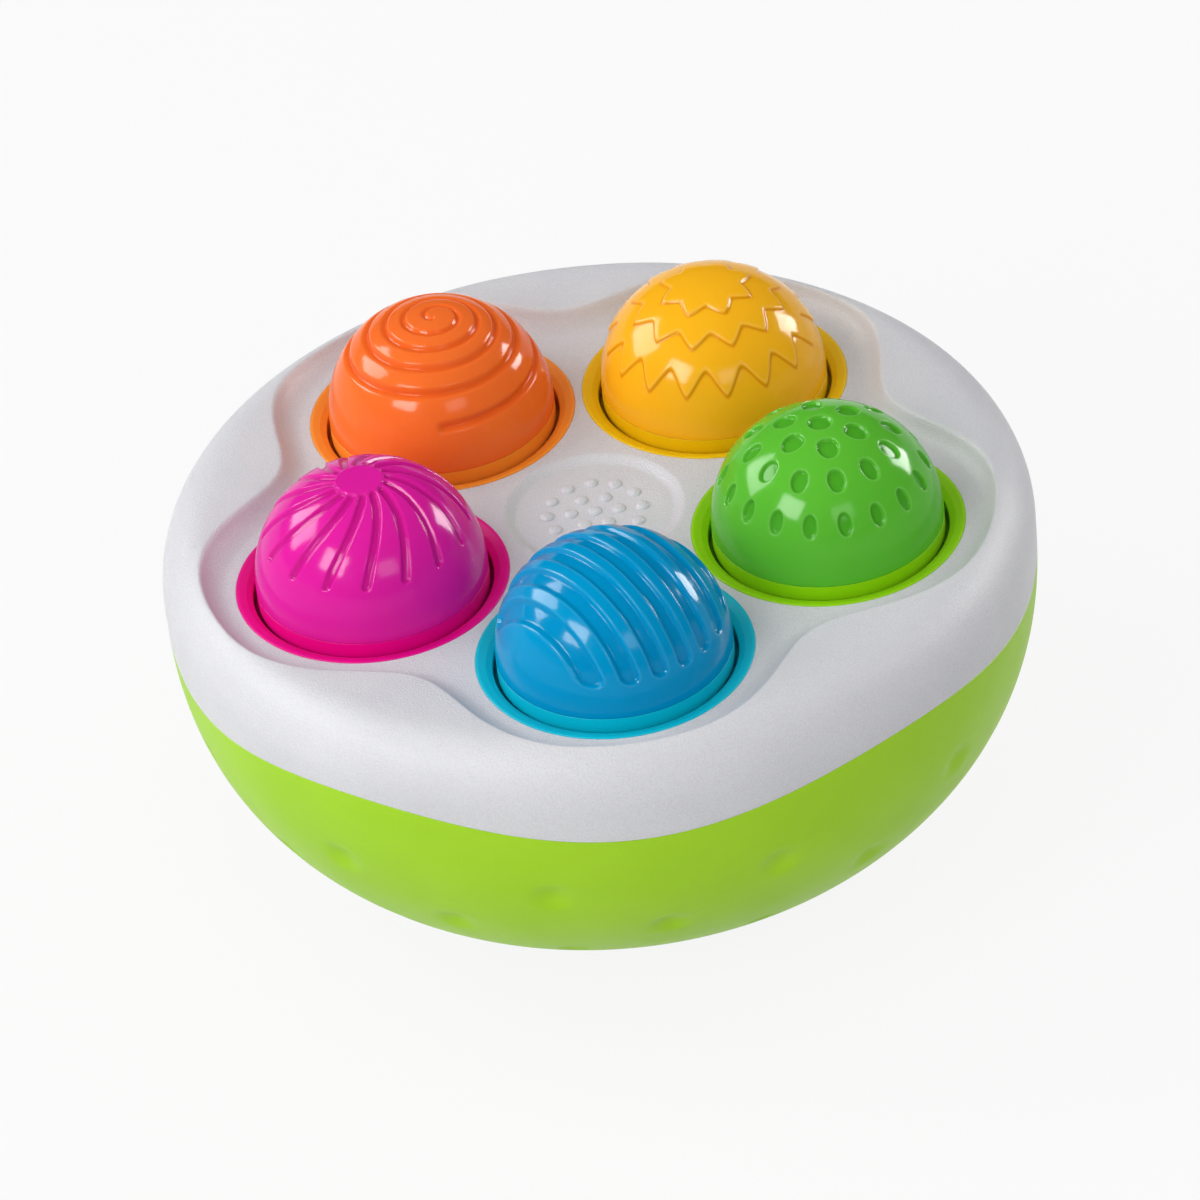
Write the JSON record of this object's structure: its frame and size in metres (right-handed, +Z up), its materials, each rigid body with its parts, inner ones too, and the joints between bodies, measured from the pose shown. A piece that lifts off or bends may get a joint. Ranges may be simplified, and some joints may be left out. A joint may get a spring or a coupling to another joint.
{
  "type": "spinning peg toy",
  "caption": "Weighted round-bottomed toy base with a five-lobed pocket, coloured sockets and lift-out domed pegs that spin on their spindles.",
  "frame": {"origin": "centre of the small flat that the base stands on", "axes": "+Z up through the middle of the base; the blue peg is at -Y, and the green, yellow, orange and magenta pegs follow every 72 degrees counter-clockwise seen from above"},
  "size_m": [0.2408, 0.2408, 0.1393],
  "materials": {
    "white_shell": "fine spark-grained moulding",
    "lime_bowl": "satin moulding",
    "steel": "zinc plated",
    "cast_ballast": "rough cast",
    "spindle_plastic": "self-lubricating plastic",
    "blue_gloss": "high gloss",
    "blue_satin": "satin",
    "green_gloss": "high gloss",
    "green_satin": "satin",
    "yellow_gloss": "high gloss",
    "yellow_satin": "satin",
    "orange_gloss": "high gloss",
    "orange_satin": "satin",
    "magenta_gloss": "high gloss",
    "magenta_satin": "satin"
  },
  "bodies": {
    "base": {"upper_shell": "white_shell", "lower_bowl": "lime_bowl", "ballast_weight": "cast_ballast", "ballast_screws": "steel", "shell_screws": "steel", "blue_socket": "blue_satin", "green_socket": "green_satin", "yellow_socket": "yellow_satin", "orange_socket": "orange_satin", "magenta_socket": "magenta_satin"},
    "blue_peg": {"blue_spindle": "spindle_plastic", "blue_spindle_screw": "steel"},
    "blue_head": {"blue_dome": "blue_gloss", "blue_skirt": "blue_satin"},
    "green_peg": {"green_spindle": "spindle_plastic", "green_spindle_screw": "steel"},
    "green_head": {"green_dome": "green_gloss", "green_skirt": "green_satin"},
    "yellow_peg": {"yellow_spindle": "spindle_plastic", "yellow_spindle_screw": "steel"},
    "yellow_head": {"yellow_dome": "yellow_gloss", "yellow_skirt": "yellow_satin"},
    "orange_peg": {"orange_spindle": "spindle_plastic", "orange_spindle_screw": "steel"},
    "orange_head": {"orange_dome": "orange_gloss", "orange_skirt": "orange_satin"},
    "magenta_peg": {"magenta_spindle": "spindle_plastic", "magenta_spindle_screw": "steel"},
    "magenta_head": {"magenta_dome": "magenta_gloss", "magenta_skirt": "magenta_satin"}
  },
  "joints": [
    {"name": "blue_lift", "type": "slide", "parent": "base", "child": "blue_peg", "axis": [0, 0, 1], "range_m": [0, 0.06]},
    {"name": "blue_spin", "type": "hinge", "parent": "blue_peg", "child": "blue_head", "pos_m": [0, -0.0655, 0.1055], "axis": [0, 0, 1], "continuous": true},
    {"name": "green_lift", "type": "slide", "parent": "base", "child": "green_peg", "axis": [0, 0, 1], "range_m": [0, 0.06]},
    {"name": "green_spin", "type": "hinge", "parent": "green_peg", "child": "green_head", "pos_m": [0.06229, -0.02024, 0.1055], "axis": [0, 0, 1], "continuous": true},
    {"name": "yellow_lift", "type": "slide", "parent": "base", "child": "yellow_peg", "axis": [0, 0, 1], "range_m": [0, 0.06]},
    {"name": "yellow_spin", "type": "hinge", "parent": "yellow_peg", "child": "yellow_head", "pos_m": [0.0385, 0.05299, 0.1055], "axis": [0, 0, 1], "continuous": true},
    {"name": "orange_lift", "type": "slide", "parent": "base", "child": "orange_peg", "axis": [0, 0, 1], "range_m": [0, 0.06]},
    {"name": "orange_spin", "type": "hinge", "parent": "orange_peg", "child": "orange_head", "pos_m": [-0.0385, 0.05299, 0.1055], "axis": [0, 0, 1], "continuous": true},
    {"name": "magenta_lift", "type": "slide", "parent": "base", "child": "magenta_peg", "axis": [0, 0, 1], "range_m": [0, 0.06]},
    {"name": "magenta_spin", "type": "hinge", "parent": "magenta_peg", "child": "magenta_head", "pos_m": [-0.06229, -0.02024, 0.1055], "axis": [0, 0, 1], "continuous": true}
  ]
}
